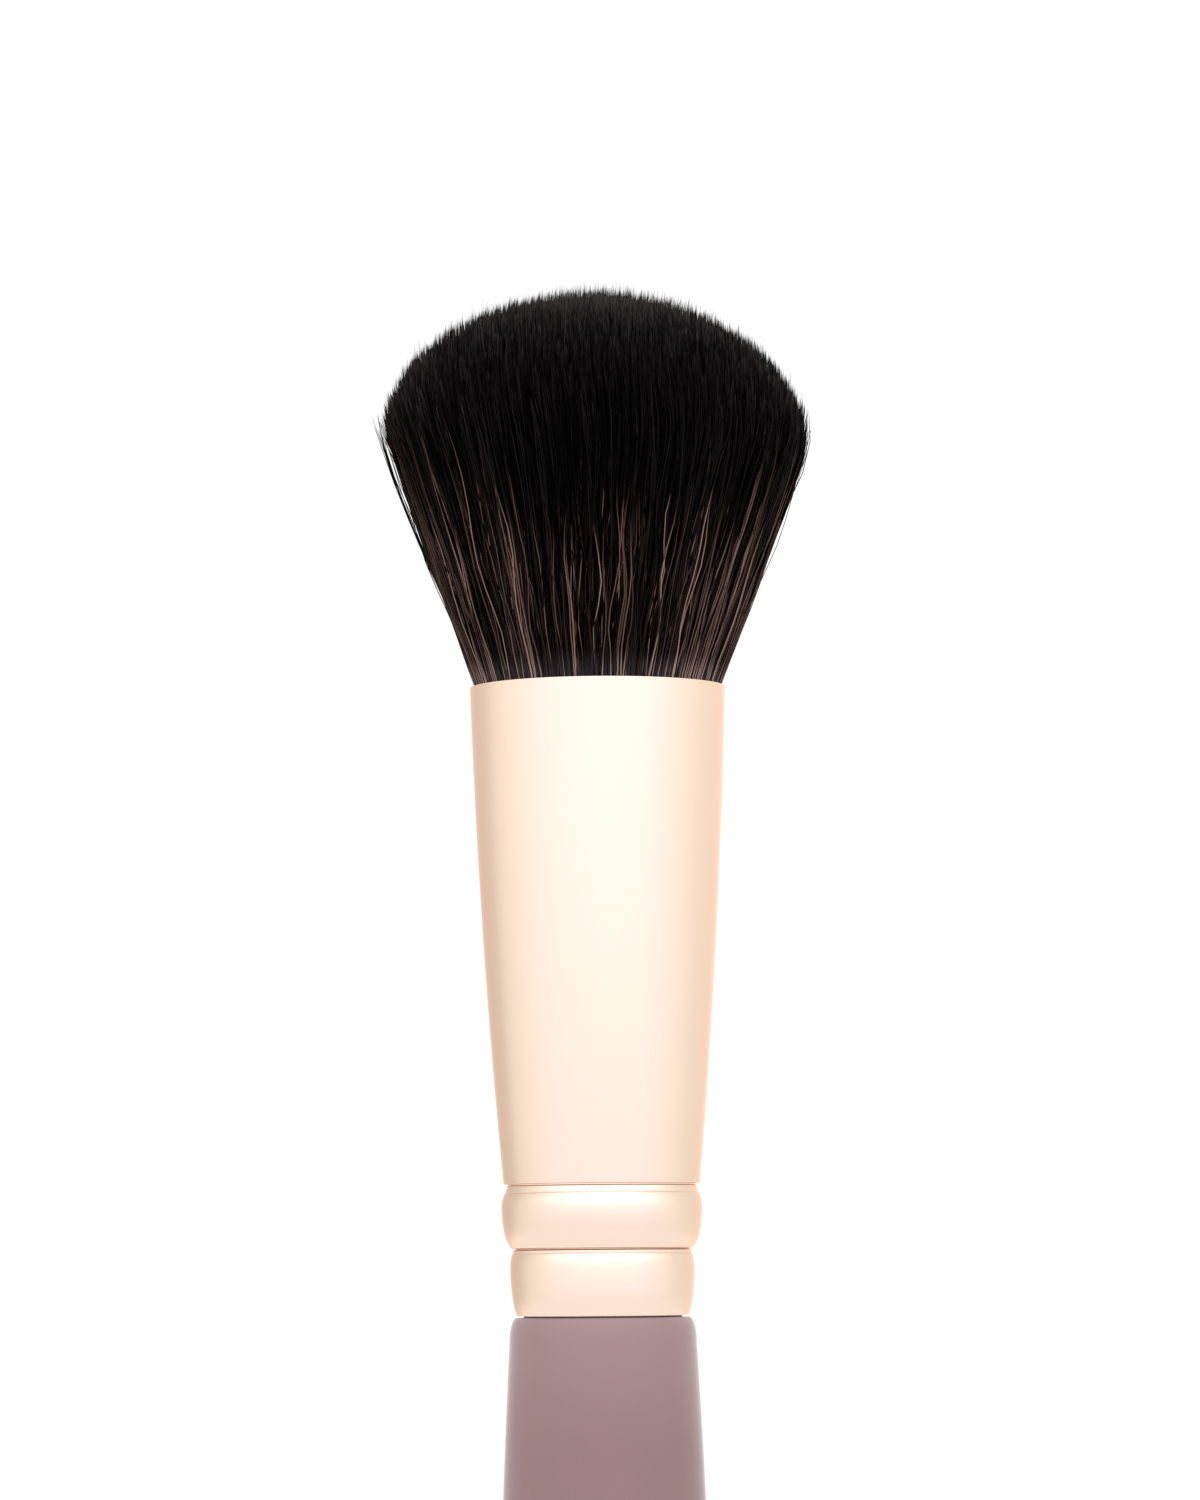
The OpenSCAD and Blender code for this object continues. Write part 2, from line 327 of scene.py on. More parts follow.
def handleFinish():
    s = handleValues
    finish = Finish("mauveSoftCoat", {
        "Specular IOR Level": s["specular"], "Sheen Weight": s["sheen"], "Sheen Roughness": s["sheenRoughness"],
    })
    coords = finish.coords()
    z = finish.axes(coords)[2]
    cloud = finish.grain(coords, s["cloudScale"], 3)
    speckle = finish.grain(coords, s["speckleScale"], 2, 0.6)
    shade = finish.step(cloud, *s["cloudRange"]) * s["cloudShare"]
    shade += finish.step(speckle, *s["speckleRange"]) * s["speckleShare"]
    # painted light: the coat is mixed paler towards the shoulder
    high = finish.step(z, s["litShoulderZ"][0] * mm, s["litShoulderZ"][1] * mm)
    return finish.paint({
        "Base Color": finish.mix(high, finish.mix(shade, s["darkCoat"], s["lightCoat"]), s["litShoulderCoat"]),
        "Roughness": s["roughness"] + speckle * s["speckleRoughness"],
        "Normal": finish.bump(speckle, s["speckleDepth"], s["speckleStrength"]),
    })


handle = makeHandle()
handOver(handle, "handle", handleFinish())
print("handle:", len(handle.data.polygons), "faces")


# The bundle of roots inside the ferrule's mouth

rootValues = {  # sizes in mm
    "footZ": 133.2, "footR": 8.296, "threadTopZ": 135.2, "spreadZ": 136.7, "topZ": 146.9, "gap": 0.03,
    "domeH": 0.5, "domeRings": (0.8, 0.55, 0.3, 0.1), "spreadRings": 12, "sides": 96, "smoothAngle": 30,
    "darkTint": rgb(0.004, 0.0035, 0.0035), "lightTint": rgb(0.05, 0.028, 0.022), "strandRange": (0.35, 0.65),
    "strandsAcross": 9000, "strandsUp": 250, "strandDepth": 5e-5, "strandStrength": 0.6,
    "specular": 0.1, "roughness": 0.5, "strandRoughness": 0.2,
}


def makeRoots():
    s = rootValues
    outline = [(s["footR"], s["footZ"]), (s["footR"], s["threadTopZ"])]
    for z in np.linspace(s["spreadZ"], s["topZ"], s["spreadRings"]):
        outline.append((boreR(z) - s["gap"], z))
    for share in s["domeRings"]:
        outline.append((boreR(s["topZ"]) * share, s["topZ"] + s["domeH"] * (1 - share * share)))
    return turned("hairRoots", outline, s["sides"], s["smoothAngle"])


def rootsFinish():
    s = rootValues
    finish = Finish("packedRoots", {"Specular IOR Level": s["specular"]})
    x, y, z = finish.axes(finish.coords())
    fine = finish.vector(x * s["strandsAcross"], y * s["strandsAcross"], z * s["strandsUp"])
    strands = finish.grain(fine, 1.0, 2)
    return finish.paint({
        "Base Color": finish.mix(finish.step(strands, *s["strandRange"]), s["darkTint"], s["lightTint"]),
        "Roughness": s["roughness"] + strands * s["strandRoughness"],
        "Normal": finish.bump(strands, s["strandDepth"], s["strandStrength"]),
    })


# The hair: strands laid from the bundle of roots up to the dome

hairValues = {
    # the head: sizes in mm, heights from the ferrule's mouth
    "startDrop": 1.3, "mouthR": 9.58, "mouthTaper": 0.055, "flare": 0.353, "flareGrowth": 0.0008,
    "widestR": 16.42, "widestBlend": 3, "rimH": 20.45, "domeH": 11.0, "domePower": 0.51, "domeDip": 0.3,
    "lean": [(0, 0.05), (4, 0.12), (10, 0.2), (16, 0.28), (18, 0.28), (20.5, 0), (24, -0.3),
             (29, -0.38), (31, -0.1)],  # height, and shift to the right there
    # clumps and waves: swings in mm, lengths of a wave in mm
    "clumps": 6000, "clumpRim": 0.995, "jitter": 0.3, "clumpPull": (0.3, 0.7), "tuftJitter": 0.09,
    "clumpWave": 0.18, "clumpSwing": (0.4, 1.6), "clumpLength": (9, 15), "clumpOutward": 0.3,
    "strandWave": 0.16, "strandSwing": (0.2, 1.5), "strandLength": (7, 15), "strandOutward": 0.2,
    "gather": [(0, 0.2), (0.1, 0.45), (0.35, 0.55), (0.6, 0.4), (0.8, 0.25), (0.92, 0.3), (1, 0.7)],
    "freedom": [(0, 1), (0.5, 1), (0.85, 0.5), (1, 0.5)], "freeH": 4,
    # tips and rim
    "tipJitter": 0.1, "tipShort": 0.85, "tipOver": 0.2, "tipOverMost": 0.8,
    "rimFrom": 0.92, "rimShort": 1.2, "rimFlare": 0.75, "rimFlareFrom": 0.86, "rimFlarePower": 1.5,
    # widths
    "taper": [(0, 1), (0.7, 0.95), (0.9, 0.8), (0.975, 0.45), (1, 0)], "widthSpread": (0.8, 1.2),
    "brownWidth": 1.15, "brownWidthPower": 4, "strayR": 0.04, "strayFeet": (0.985, 1),
    # where brown strands are: shares of the strands, by the place on the disc of feet; the extra brown towards the
    # left and right flanks is painted rim light
    "patches": 420, "brownShare": 0.108, "brownSpread": 0.045, "rimLightBrown": 0.125, "brownRange": (0.02, 0.5),
    # painted shade: fewer brown strands deeper in the head, standing in for the shade between strands
    "shadedDeepBrown": 0.4, "deepRange": (0.86, 0.97), "longShare": 0.27, "rimLightLong": 0.33, "rimLightWholeShare": 0.8,
    "brownLift": 0.22, "brownLiftFrom": -3.0, "brownLiftReach": 26.0, "brownHold": 0.35,
    # painted light: pale tips are most likely at the dome's middle, lit from above, and at its left and right sides
    "paleTo": 0.92, "paleFade": 0.45,
    # the colour map has a column for each shade: brown to the tip first, then long brown, brown, black and
    # pale-tipped; brown to the tip and the pale tips carry painted light
    "sideColumns": 6, "longColumns": 14, "brownColumns": 42, "paleColumns": 20, "columns": 84,
    "mapEdge": 0.12, "mapMargin": 0.004, "seed": 11,
    # the finish: places are shares of a strand's length; a pair for spread() is the least and what chance adds
    "specular": 0.014, "roughness": 0.42, "tipRoughness": 0.2, "toneSeed": 0.31, "otherStep": 1.7, "otherSeed": 9.13,
    "black": (rgb(0.0002, 0.0002, 0.0002), rgb(0.0098, 0.0085, 0.0085)),
    # painted light: the upper part of the black strands is paler, as the dome's top is lit from above and light shows
    # through the thin ends
    "paintedLightUpperBlack": (rgb(0.0003, 0.0003, 0.0003), rgb(0.0150, 0.0122, 0.0114)),
    "upperRange": (0.7, 1.0), "upperMost": 0.8,
    "warmBlack": rgb(0.0175, 0.0104, 0.0088), "warmTones": (0.4, 0.95),
    "warmFrom": (0.15, 0.35), "warmTo": (0.45, 0.45),
    "browns": [(0, (0.019, 0.0108, 0.0083)), (0.5, (0.077, 0.0455, 0.0358)), (1, (0.212, 0.130, 0.102))],
    "fadeFrom": (0.29, 0.2), "fadeTo": (0.47, 0.3), "longFade": 0.2, "rimLightFade": 0.25,
    "dimRange": (0.6, 0.95), "dimMost": 0.6,
    # painted light: paler strand feet near the mouth, standing in for light reflected from the ferrule
    "paintedBounceRange": (0.05, 0.16), "paintedBounceShare": (0.08, 0.48),
    "paintedBounceBlack": rgb(0.255, 0.245, 0.250), "paintedBounceBrown": rgb(0.37, 0.255, 0.212),
    # painted light: pale tips and paler ends stand in for light from the backdrop showing through the thin tips
    "tipRange": (0.915, 0.985), "tipPale": (0.05, 0.8), "tipChance": (0.06, 1.1),
    "paintedGlowTipTint": rgb(0.0355, 0.0305, 0.0290),
    "endRange": (0.975, 0.995), "endPale": (0.1, 0.75), "endChance": (0.4, 0.8),
    "paintedGlowEndTint": rgb(0.050, 0.0415, 0.0390),
}
hairZones = [  # name, inner and outer share of the radius, strands, pieces, strand radius in mm, levels
    ("hairOuter", 0.86, 1.0, 12000, 5, 0.048, (0.07, 0.15, 0.23, 0.31, 0.39, 0.48, 0.57, 0.67, 0.78, 0.89, 0.978)),
    ("hairMiddle", 0.60, 0.86, 16000, 3, 0.046, (0.2, 0.5, 0.75, 0.9, 0.98)),
    ("hairInner", 0.0, 0.60, 20000, 3, 0.048, (0.5, 0.85, 0.97)),
]
hairStrays = [  # how many, middle direction and spread in radians, ranges in mm: distance off, first height, reach
    (80, 0, math.pi, ((0.25, 0.72), (2, 12), (14, 26))),
    (10, math.pi, 0.08, ((0.54, 0.84), (5, 7), (22, 24))),
]
rng = np.random.default_rng(hairValues["seed"])


def strandPattern(levels):  # one strand, 1 high and 1 wide: a three-sided cone with rings cut into it
    nothingSelected()
    bpy.ops.mesh.primitive_cone_add(vertices=3, radius1=1, radius2=0, depth=1, location=(0, 0, 0.5))
    strand = newPiece("strandPattern")
    bpy.ops.object.mode_set(mode="EDIT")
    for level in levels:
        bpy.ops.mesh.select_all(action="SELECT")
        bpy.ops.mesh.bisect(plane_co=(0, 0, level), plane_no=(0, 0, 1))
    bpy.ops.mesh.normals_make_consistent(inside=False)
    bpy.ops.object.mode_set(mode="OBJECT")
    return strand


def patternData(strand):  # its corners' levels and angles, and for each face its corners and their places in the map
    mesh = strand.data
    left, right = hairValues["mapEdge"], 1 - hairValues["mapEdge"]
    corners = np.array([corner.co for corner in mesh.vertices])
    heights, level = np.unique(corners[:, 2].round(4), return_inverse=True)
    around = np.arctan2(corners[:, 1], corners[:, 0])
    loops, starts, across = [], [], []
    for face in mesh.polygons:
        starts.append(len(loops))
        ring = [i for i in face.vertices if corners[i, 2] < 0.9999]  # all but the tip
        middle = np.arctan2(corners[ring, 1].sum(), corners[ring, 0].sum())
        for place, i in enumerate(face.vertices):
            side = (around[i] - middle + math.pi) % fullTurn - math.pi
            share = 0.5 if i not in ring else left if side < 0 else right
            across.append((left, 0.5, right)[place % 3] if abs(face.normal.z) > 0.99 else share)
            loops.append(i)
    return {"heights": heights, "level": level, "around": around, "loops": np.array(loops),
            "starts": np.array(starts), "across": np.array(across)}


def layStrands(name, shape, paths, widths, columns, material):
    # paths: a point in mm for each strand and level; widths: the strand's radius there
    count, corners, loopCount = len(paths), len(shape["level"]), len(shape["loops"])
    places = paths[:, shape["level"]].copy()
    angle = shape["around"] + rng.uniform(0, fullTurn, (count, 1))
    reach = widths[:, shape["level"]]
    places[..., 0] += reach * np.cos(angle)
    places[..., 1] += reach * np.sin(angle)
    mesh = bpy.data.meshes.new(name)
    mesh.vertices.add(count * corners)
    mesh.vertices.foreach_set("co", (places * mm).astype(np.float32).ravel())
    order = np.arange(count)[:, None]
    mesh.loops.add(count * loopCount)
    mesh.loops.foreach_set("vertex_index", (shape["loops"] + order * corners).astype(np.int32).ravel())
    mesh.polygons.add(count * len(shape["starts"]))
    mesh.polygons.foreach_set("loop_start", (shape["starts"] + order * loopCount).astype(np.int32).ravel())
    mesh.update(calc_edges=True)
    mesh.polygons.foreach_set("use_smooth", np.ones(len(mesh.polygons), bool))
    along = shape["heights"][shape["level"]][shape["loops"]]
    margin = hairValues["mapMargin"]
    bakeMap = np.empty((count, loopCount, 2), np.float32)
    bakeMap[..., 0] = (columns[:, None] + shape["across"]) / hairValues["columns"]
    bakeMap[..., 1] = margin + (1 - 2 * margin) * along
    mesh.uv_layers.new(name="OFBake").data.foreach_set("uv", bakeMap.ravel())
    piece = bpy.data.objects.new(name, mesh)
    scene.collection.objects.link(piece)
    handOver(piece, "bristles", material)
    return piece


def hairR(h):  # radius of the head at a height above the mouth: a cone that stops widening near the tips
    s = hairValues
    cone = s["mouthR"] + s["mouthTaper"] * np.minimum(h, 0)
    cone = cone + s["flare"] * np.maximum(h, 0) + s["flareGrowth"] * np.maximum(h, 0) ** 2
    return s["widestR"] - np.log1p(np.exp(s["widestBlend"] * (s["widestR"] - cone))) / s["widestBlend"]


def tipH(share):  # height of the dome at a share of the radius
    s = hairValues
    share = np.minimum(share, 1)
    return s["rimH"] + s["domeH"] * (1 - share ** 2) ** s["domePower"] - s["domeDip"] * 4 * share * (1 - share)


def sunflower(count, inner, outer):  # evenly strewn points between two circles, as x and y
    goldenAngle = 2.399963
    k = np.arange(count) + rng.uniform(0, 1, count)
    share = np.sqrt(inner ** 2 + (outer ** 2 - inner ** 2) * k / count)
    turn = np.arange(count) * goldenAngle + rng.normal(0, hairValues["jitter"], count)
    return np.stack([share * np.cos(turn), share * np.sin(turn)], 1)


def nearest(places):  # a function that gives the number of the nearest place for each point
    tree = kdtree.KDTree(len(places))
    for i, (x, y) in enumerate(places):
        tree.insert((x, y, 0), i)
    tree.balance()
    return lambda points: np.array([tree.find((x, y, 0))[1] for x, y in points])


def makeClumps():  # where the clumps stand, how they wave, and how many of their strands are brown and how far up
    s = hairValues
    n = s["clumps"]
    places = sunflower(n, 0, s["clumpRim"])
    patches = sunflower(s["patches"], 0, 1)
    # painted rim light: more brown strands towards the left and right flanks, on top of the hair's own brown share
    brown = rng.normal(s["brownShare"], s["brownSpread"], len(patches)) + s["rimLightBrown"] * patches[:, 0] ** 2
    brown = np.clip(brown, *s["brownRange"])
    return {
        "places": places, "find": nearest(places), "brown": brown[nearest(patches)(places)],
        # painted rim light: longer browns and brown-to-the-tip strands towards the left and right flanks; longShare
        # alone is the hair's own mix
        "long": s["longShare"] + s["rimLightLong"] * places[:, 0] ** 2, "side": s["rimLightWholeShare"] * places[:, 0] ** 4,
        "wave": rng.uniform(*s["clumpSwing"], (n, 2)) * s["clumpWave"],
        "length": rng.uniform(*s["clumpLength"], (n, 2)), "phase": rng.uniform(0, fullTurn, (n, 2)),
        "pull": rng.uniform(*s["clumpPull"], n), "tuft": rng.normal(0, s["tuftJitter"], n),
    }


def strandPaths(feet, heights, clumps, owners, hold, away):
    # feet: x and y on a disc of radius 1; hold: how far the strands lean to their clump's middle, which they wave with
    # away: how far a strand stands off the head, from which height, and over what height
    s = hairValues
    count = len(feet)
    share = np.linalg.norm(feet, axis=1)
    tips = tipH(share) + clumps["tuft"][owners] + rng.normal(0, s["tipJitter"], count)
    atRim = np.clip((share - s["rimFrom"]) / (1 - s["rimFrom"]), 0, 1)  # here some strands are shorter and flare out
    tips -= (s["tipShort"] + (s["rimShort"] - s["tipShort"]) * atRim) * np.abs(rng.normal(0, 1, count))
    tips += np.minimum(rng.exponential(s["tipOver"], count), s["tipOverMost"])
    h = -s["startDrop"] + (tips + s["startDrop"])[:, None] * heights
    pull = (clumps["pull"][owners] * hold)[:, None] * np.interp(heights, *zip(*s["gather"]))
    flat = feet[:, None] + (clumps["places"][owners] - feet)[:, None] * pull[..., None]
    free = np.clip(h / s["freeH"], 0, 1) * np.interp(heights, *zip(*s["freedom"]))  # the mouth holds the feet
    wide = flat * hairR(h)[..., None]
    outward = feet / np.maximum(share, 1e-6)[:, None]
    sideways = np.stack([-outward[:, 1], outward[:, 0]], 1)
    ways = ((outward, s["clumpOutward"], s["strandOutward"]), (sideways, 1, 1))
    for axis, (way, clumpShare, strandShare) in enumerate(ways):
        swing = clumps["wave"][owners, axis][:, None] * np.sin(
            fullTurn * h / clumps["length"][owners, axis][:, None] + clumps["phase"][owners, axis][:, None])
        own = rng.uniform(*s["strandSwing"], (count, 1)) * s["strandWave"] * np.sin(
            fullTurn * h / rng.uniform(*s["strandLength"], (count, 1)) + rng.uniform(0, fullTurn, (count, 1)))
        wide += ((swing * clumpShare + own * strandShare) * free)[..., None] * way[:, None]
    bent = np.clip((heights - s["rimFlareFrom"]) / (1 - s["rimFlareFrom"]), 0, 1) ** s["rimFlarePower"]
    flare = (atRim * rng.uniform(0, s["rimFlare"], count))[:, None] * bent
    off = away[:, :1] * np.sin(np.pi * np.clip((h - away[:, 1:2]) / away[:, 2:], 0, 1))
    wide += (flare + off)[..., None] * outward[:, None]
    path = np.empty((count, len(heights), 3))
    path[..., :2] = wide
    path[..., 0] += np.interp(h, *zip(*s["lean"]))
    path[..., 2] = ferruleValues["mouthZ"] + h
    return path


def strandWidths(columns, radius, heights):  # brown strands are a little wider, but not at their tips
    s = hairValues
    taper = np.interp(heights, *zip(*s["taper"]))
    wide = np.where(columns < s["brownColumns"], s["brownWidth"], 1.0)[:, None]
    own = rng.uniform(*s["widthSpread"], (len(columns), 1))
    return own * radius * (taper + (wide - 1) * taper ** s["brownWidthPower"])


def strandColumns(owners, clumps):  # a column of the colour map for each strand
    s = hairValues
    n = len(owners)
    share = np.linalg.norm(clumps["places"][owners], axis=1)
    # painted light: pale-tipped strands are chosen more at the dome's middle, lit from above, and at its left and
    # right sides
    paintedLightPaleChance = np.clip((s["paleTo"] - share) / s["paleFade"], 0, 1) + clumps["places"][owners, 0] ** 4
    pale = rng.uniform(0, 1, n) < paintedLightPaleChance
    blackEnd = s["columns"] - s["paleColumns"]
    blacks = np.where(pale, rng.integers(blackEnd, s["columns"], n), rng.integers(s["brownColumns"], blackEnd, n))
    # painted shade: deeper strands are less often brown, as shade falls between them
    paintedShadeDeep = np.interp(share, s["deepRange"], [s["shadedDeepBrown"], 1])
    brown = rng.uniform(0, 1, n) < clumps["brown"][owners] * paintedShadeDeep
    long = rng.uniform(0, 1, n) < clumps["long"][owners]
    # painted rim light: strands at the flanks may be brown to the tip
    atSide = rng.uniform(0, 1, n) < clumps["side"][owners]
    shades = np.where(long, rng.integers(s["sideColumns"], s["longColumns"], n),
                      rng.integers(s["longColumns"], s["brownColumns"], n))
    shades = np.where(atSide, rng.integers(0, s["sideColumns"], n), shades)
    return np.where(brown, shades, blacks)


def hairFinish():
    s = hairValues
    finish = Finish("darkFibre", {"Specular IOR Level": s["specular"]})
    across, along = finish.axes(finish.node("UVMap", {"uv_map": "OFBake"}, {}))[:2]
    column = (across * s["columns"]).floor()
    isBrown = column.below(s["brownColumns"] - 0.5)
    isLong = column.below(s["longColumns"] - 0.5)
    isSide = column.below(s["sideColumns"] - 0.5)
    isPale = 1 - column.below(s["columns"] - s["paleColumns"] - 0.5)
    tone = finish.chance(column + s["toneSeed"])
    other = finish.chance(column * s["otherStep"] + s["otherSeed"])
    mostlyDark = tone * tone * tone
    warm = 1 - finish.step(along, other.spread(*s["warmFrom"]), other.spread(*s["warmTo"]))
    black = finish.mix(mostlyDark, *s["black"])
    dim = finish.mix(warm * finish.step(tone, *s["warmTones"]), black, s["warmBlack"])
    # painted light: the upper part of each black strand is mixed paler
    paintedLightUpper = finish.mix(mostlyDark, *s["paintedLightUpperBlack"])
    dim = finish.mix(finish.step(along, *s["upperRange"]) * s["upperMost"], dim, paintedLightUpper)
    brown = finish.node("ValToRGB", {"stops": s["browns"]}, {0: tone})
    # painted rim light: the side columns stay brown further up
    further = isLong * s["longFade"] + isSide * s["rimLightFade"]
    fade = finish.step(along, other.spread(*s["fadeFrom"]) + further, other.spread(*s["fadeTo"]) + further)
    bright = 1 - finish.step(along, *s["dimRange"]) * s["dimMost"]
    base = finish.mix(isBrown * (1 - fade) * bright, dim, brown)
    # painted light: the feet of the strands are mixed paler, as light reflected from the ferrule's mouth
    foot = 1 - finish.step(along, *s["paintedBounceRange"])
    paintedBounceTint = finish.mix(isBrown, s["paintedBounceBlack"], s["paintedBounceBrown"])
    base = finish.mix(foot * isBrown.spread(*s["paintedBounceShare"]), base, paintedBounceTint)
    # painted light: paler tips and ends stand in for the light that shows through thin tips
    tip = finish.step(along, *s["tipRange"])
    tipShare = tip * isPale.spread(*s["tipPale"]) * (other * other).spread(*s["tipChance"])
    base = finish.mix(tipShare, base, s["paintedGlowTipTint"])
    end = finish.step(along, *s["endRange"]) * isPale.spread(*s["endPale"]) * tone.spread(*s["endChance"])
    return finish.paint({
        "Base Color": finish.mix(end, base, s["paintedGlowEndTint"]),
        "Roughness": s["roughness"] + tip * s["tipRoughness"],
    })


def makeStrays(shape, clumps, fibre):  # single hairs that stand off the head all round, and a small sheaf at its left
    turns, aways = [], []
    for count, middle, spread, ranges in hairStrays:
        turns.append(rng.uniform(middle - spread, middle + spread, count))
        aways.append(np.stack([rng.uniform(low, high, count) for low, high in ranges], 1))
    turn, away = np.concatenate(turns), np.concatenate(aways)
    feet = np.stack([np.cos(turn), np.sin(turn)], 1) * rng.uniform(*hairValues["strayFeet"], (len(turn), 1))
    paths = strandPaths(feet, shape["heights"], clumps, clumps["find"](feet), 1, away)
    columns = rng.integers(hairValues["brownColumns"], hairValues["columns"], len(turn))
    widths = strandWidths(columns, hairValues["strayR"], shape["heights"])
    layStrands("strayHairs", shape, paths, widths, columns, fibre)


def makeHair():
    s = hairValues
    fibre = hairFinish()
    clumps = makeClumps()
    for name, inner, outer, count, pieces, radius, levels in hairZones:
        pattern = strandPattern(levels)
        shape = patternData(pattern)
        bpy.data.objects.remove(pattern)
        feet = sunflower(count, inner, outer)
        owners = clumps["find"](feet)
        part = ((np.arctan2(feet[:, 1], feet[:, 0]) / fullTurn) % 1 * pieces).astype(int)
        columns = strandColumns(owners, clumps)
        isBrown = columns < s["brownColumns"]
        lift = isBrown * (outer == 1) * rng.uniform(0, s["brownLift"], count)
        away = np.stack([lift, np.full(count, s["brownLiftFrom"]), np.full(count, s["brownLiftReach"])], 1)
        paths = strandPaths(feet, shape["heights"], clumps, owners, np.where(isBrown, s["brownHold"], 1), away)
        widths = strandWidths(columns, radius, shape["heights"])
        for i in range(pieces):
            mine = part == i
            piece = layStrands(f"{name}{i + 1}", shape, paths[mine], widths[mine], columns[mine], fibre)
            print(piece.name + ":", mine.sum(), "strands,", len(piece.data.polygons), "faces")
        if outer == 1:
            makeStrays(shape, clumps, fibre)


roots = makeRoots()
handOver(roots, "bristles", rootsFinish())
print("roots:", len(roots.data.polygons), "faces")
makeHair()


# The wound thread, hidden inside the ferrule

threadValues = {  # sizes in mm
    "innerR": 8.326, "threadR": 0.25, "footZ": 133.2, "turns": 3, "pitch": 0.49,
    "sides": 8, "stepsPerTurn": 72, "smoothAngle": 60,
    "darkTint": rgb(0.52, 0.47, 0.38), "lightTint": rgb(0.76, 0.72, 0.62), "specular": 0.35,
    "pliesRound": 12, "pliesUp": 2400, "pliesTwist": 1.5, "pliesDepth": 6e-5, "pliesStrength": 0.7,
    "roughness": 0.75, "pliesRoughness": 0.2,
}


def makeThread():
    s = threadValues
    nothingSelected()
    middle = ((s["innerR"] + s["threadR"]) * mm, 0, (s["footZ"] + s["threadR"]) * mm)
    bpy.ops.mesh.primitive_circle_add(vertices=s["sides"], radius=s["threadR"] * mm,
                                      rotation=(math.pi / 2, 0, 0), location=middle)
    thread = newPiece("threadTurns")
    winding = thread.modifiers.new("winding", "SCREW")
    winding.screw_offset = s["pitch"] * mm
    winding.iterations = s["turns"]
    winding.steps = winding.render_steps = s["stepsPerTurn"]
    bpy.ops.object.modifier_apply(modifier=winding.name)
    bpy.ops.object.mode_set(mode="EDIT")
    return closeUp(thread, s["smoothAngle"])


def threadFinish():
    s = threadValues
    finish = Finish("waxedThread", {"Specular IOR Level": s["specular"]})
    x, y, z = finish.axes(finish.coords())
    twist = finish.vector(y.angleTo(x) * s["pliesRound"] + z * s["pliesUp"], 0.0, 0.0)
    plies = finish.node("TexWave", {"bands_direction": "X"}, {
        "Vector": twist, "Scale": 1.0, "Distortion": s["pliesTwist"], "Detail": 2.0, "Detail Scale": 2.0,
    })
    return finish.paint({
        "Base Color": finish.mix(plies, s["darkTint"], s["lightTint"]),
        "Roughness": s["roughness"] - plies * s["pliesRoughness"],
        "Normal": finish.bump(plies, s["pliesDepth"], s["pliesStrength"]),
    })


# The two glues, whose solids stay as they are

glueValues = {
    "nodes": ("glue_plug", "tenon_glue"), "specular": 0.5, "coatRoughness": 0.1,
    "darkTint": rgb(0.46, 0.31, 0.12), "lightTint": rgb(0.66, 0.50, 0.26), "bubbleTint": rgb(0.80, 0.70, 0.50),
    "cloudScale": 420, "cloudRange": (0.3, 0.7), "bubbleScale": 1600, "bubbleRange": (0.08, 0.22), "bubbleShare": 0.6,
    "roughness": 0.18, "cloudRoughness": 0.14, "coat": (0.3, 0.4), "bubbleHeight": 0.8, "depth": 6e-5, "strength": 0.4,
}


def glueFinish():
    s = glueValues
    finish = Finish("amberGlue", {"Specular IOR Level": s["specular"], "Coat Roughness": s["coatRoughness"]})
    coords = finish.coords()
    cloud = finish.grain(coords, s["cloudScale"], 4, 0.6)
    cells = finish.node("TexVoronoi", {}, {"Vector": coords, "Scale": s["bubbleScale"], "Randomness": 1.0})
    bubble = 1 - finish.step(cells, *s["bubbleRange"])
    tint = finish.mix(finish.step(cloud, *s["cloudRange"]), s["darkTint"], s["lightTint"])
    return finish.paint({
        "Base Color": finish.mix(bubble * s["bubbleShare"], tint, s["bubbleTint"]),
        "Roughness": s["roughness"] + cloud * s["cloudRoughness"],
        "Coat Weight": bubble.spread(*s["coat"]),
        "Normal": finish.bump(cloud + bubble * s["bubbleHeight"], s["depth"], s["strength"]),
    })


handOver(makeThread(), "binding_thread", threadFinish())
glue = glueFinish()
for nodeName in glueValues["nodes"]:
    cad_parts[nodeName].material_slots[0].material = glue
print("thread and glue done")


# The studio: a pale floor, a white surround, large soft lights and the camera

studio = {  # sizes in metres, angles in degrees
    "floorR": 0.4, "floorSides": 96, "floorEdge": 0.1, "floorShade": 0.755, "floorChange": 0.03, "floorScale": 60,
    "floorSpecular": 0.1, "floorRoughness": 0.8,
    "cameraDistance": 0.5, "cameraSide": 0.00015, "cameraZ": 0.103, "lens": 153.6, "pitch": 4.606, "roll": -0.5,
    "nearest": 0.01, "furthest": 20,
    "topLight": (0, -0.2, 1.1), "topSize": 1.2, "topBrightness": 1.3,
    "glow": [(-180, 1.0), (-165, 1.0), (-147, 1.02), (-126, 1.1), (-105, 1.42), (-60, 1.77), (-35, 1.89), (5, 1.97),
             (42, 1.94), (75, 1.68), (108, 1.42), (128, 1.38), (146, 1.36), (158, 1.38), (170, 1.42), (176, 1.2),
             (180, 1.0)],  # direction from the front, and brightness there
    "glowFull": 2.4, "lowGlow": 1.48, "lowRange": (-0.3, -0.06),
    "frontRange": (1.4, 1.9), "frontTint": (1, 0.975, 1.085), "highRange": (0.05, 0.35), "highLift": 0.3,
}


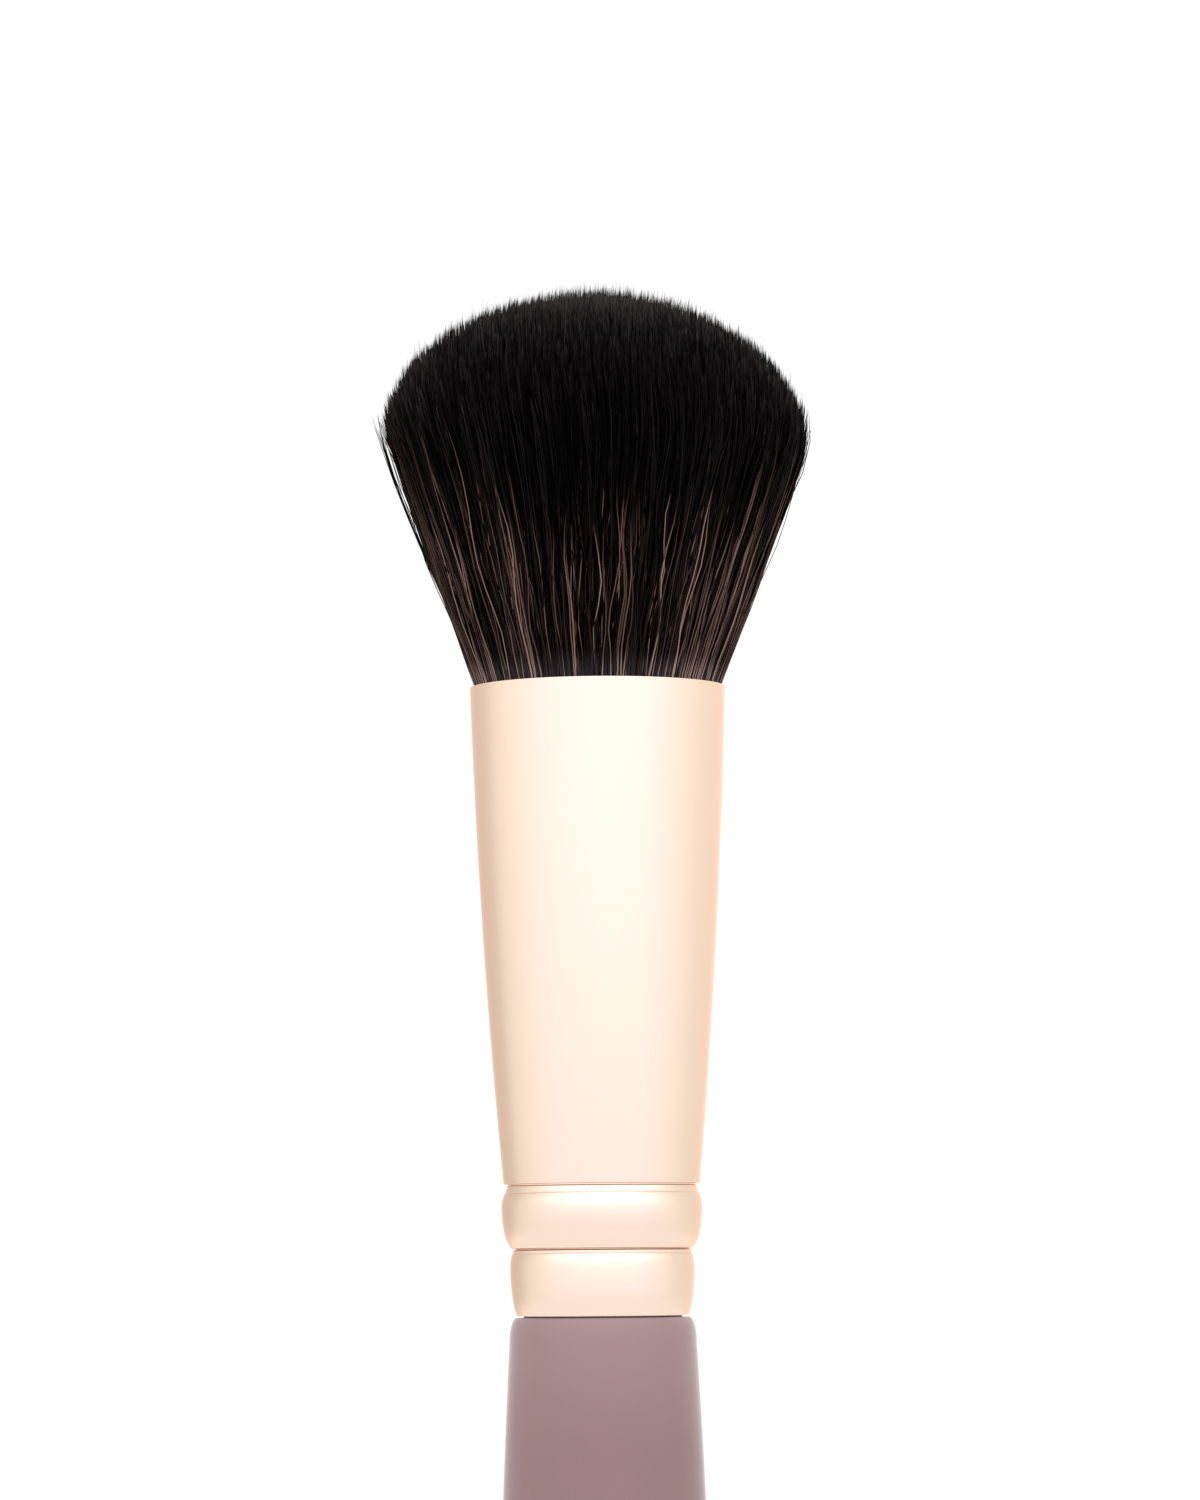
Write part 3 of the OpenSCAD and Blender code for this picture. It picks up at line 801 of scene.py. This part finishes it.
def makeFloor():
    nothingSelected()
    bpy.ops.mesh.primitive_circle_add(vertices=studio["floorSides"], radius=studio["floorR"], fill_type="NGON")
    floor = newPiece("floor")
    bpy.ops.object.mode_set(mode="EDIT")
    bpy.ops.mesh.select_all(action="SELECT")
    bpy.ops.mesh.inset(thickness=studio["floorEdge"])
    bpy.ops.object.mode_set(mode="OBJECT")
    constants = {"Specular IOR Level": studio["floorSpecular"], "Roughness": studio["floorRoughness"]}
    finish = Finish("paleFloor", constants)
    cloud = finish.grain(finish.coords(), studio["floorScale"], 3)
    darkest, lightest = studio["floorShade"], studio["floorShade"] + studio["floorChange"]
    tint = finish.mix(cloud, rgb(darkest, darkest, darkest), rgb(lightest, lightest, lightest))
    floor.data.materials.append(finish.paint({"Base Color": tint}))


def makeTopLight():
    lamp = bpy.data.lights.new("topLight", "AREA")
    lamp.shape, lamp.size = "DISK", studio["topSize"]
    lamp.energy = studio["topBrightness"] * math.pi * math.pi * studio["topSize"] ** 2 / 4
    light = bpy.data.objects.new("topLight", lamp)
    scene.collection.objects.link(light)
    light.location = studio["topLight"]
    light.visible_camera = False


def makeSurround():  # white all round, and brighter towards the front and the right
    finish = Finish("whiteSurround", {"Color": rgb(1, 1, 1)}, bpy.data.worlds, "Background")
    x, y, z = finish.axes(finish.node("TexCoord", {}, {}).output("Generated"))
    turn = x.angleTo(0 - y) * (1 / fullTurn) + 0.5
    full, low = studio["glowFull"], studio["lowGlow"]
    stops = [(degrees / 360 + 0.5, (level / full,) * 3) for degrees, level in studio["glow"]]
    level = finish.node("ValToRGB", {"stops": stops}, {0: turn}) * full
    front = finish.step(level, *studio["frontRange"])
    level = level * (1 + front * finish.step(z, *studio["highRange"]) * studio["highLift"])
    scene.world = finish.paint({
        "Color": finish.mix(front, rgb(1, 1, 1), rgb(*studio["frontTint"])),
        "Strength": low + (level - low) * finish.step(z, *studio["lowRange"]),
    })


def makeCamera():
    nothingSelected()
    bpy.ops.object.camera_add(location=(studio["cameraSide"], -studio["cameraDistance"], studio["cameraZ"]))
    camera = bpy.context.object
    camera.name = "camera"
    camera.data.lens = studio["lens"]
    camera.data.clip_start, camera.data.clip_end = studio["nearest"], studio["furthest"]
    tilt = Matrix.Rotation(math.radians(90 + studio["pitch"]), 4, "X")
    camera.matrix_world = camera.matrix_world @ tilt @ Matrix.Rotation(math.radians(studio["roll"]), 4, "Z")
    scene.camera = camera


makeFloor()
makeTopLight()
makeSurround()
makeCamera()
scene.view_settings.view_transform = "Standard"
print("studio ready")
